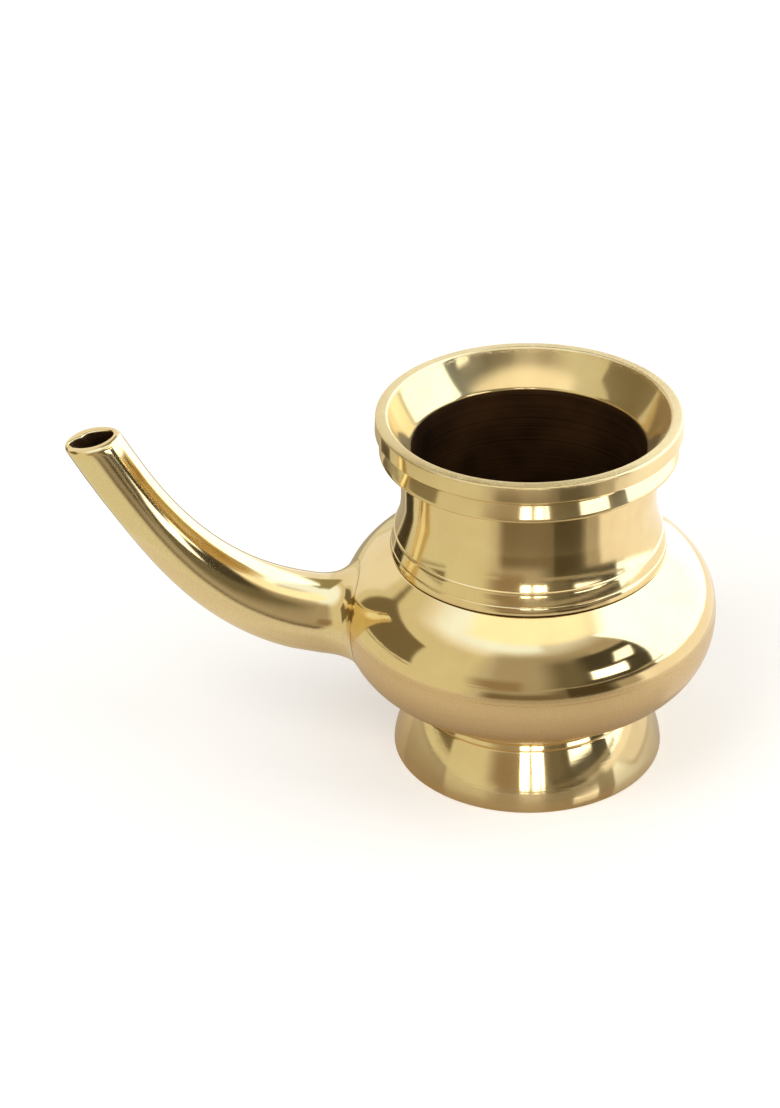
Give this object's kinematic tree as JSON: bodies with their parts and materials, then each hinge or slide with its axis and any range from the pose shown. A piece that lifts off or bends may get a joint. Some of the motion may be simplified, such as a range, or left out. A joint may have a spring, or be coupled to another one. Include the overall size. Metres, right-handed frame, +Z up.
{
  "type": "spouted water pot",
  "caption": "Turned brass water pot with a flared mouth, a collar, a round belly, a ring foot and a curved pouring spout.",
  "frame": {"origin": "centre of the bounding box in X and Y, on the table plane under the foot ring; the pot's turning axis stands at X = +45 mm", "axes": "+Z up along the pot's turning axis, -X towards the spout's mouth, +Y to the left of someone who looks along +X"},
  "size_m": [0.219, 0.129, 0.1298],
  "materials": {
    "turned_brass": "lathe-turned and polished, dark patina inside",
    "cast_brass": "cast, filed and polished",
    "braze": "brazing filler, dull"
  },
  "bodies": {
    "root": {"foot_ring": "turned_brass", "bowl_shell": "turned_brass", "shoulder_shell": "turned_brass", "neck_collar": "turned_brass", "mouth_flare": "turned_brass", "spout": "cast_brass", "foot_braze": "braze", "belly_braze": "braze", "collar_braze": "braze", "mouth_braze": "braze", "spout_braze": "braze"}
  },
  "joints": []
}
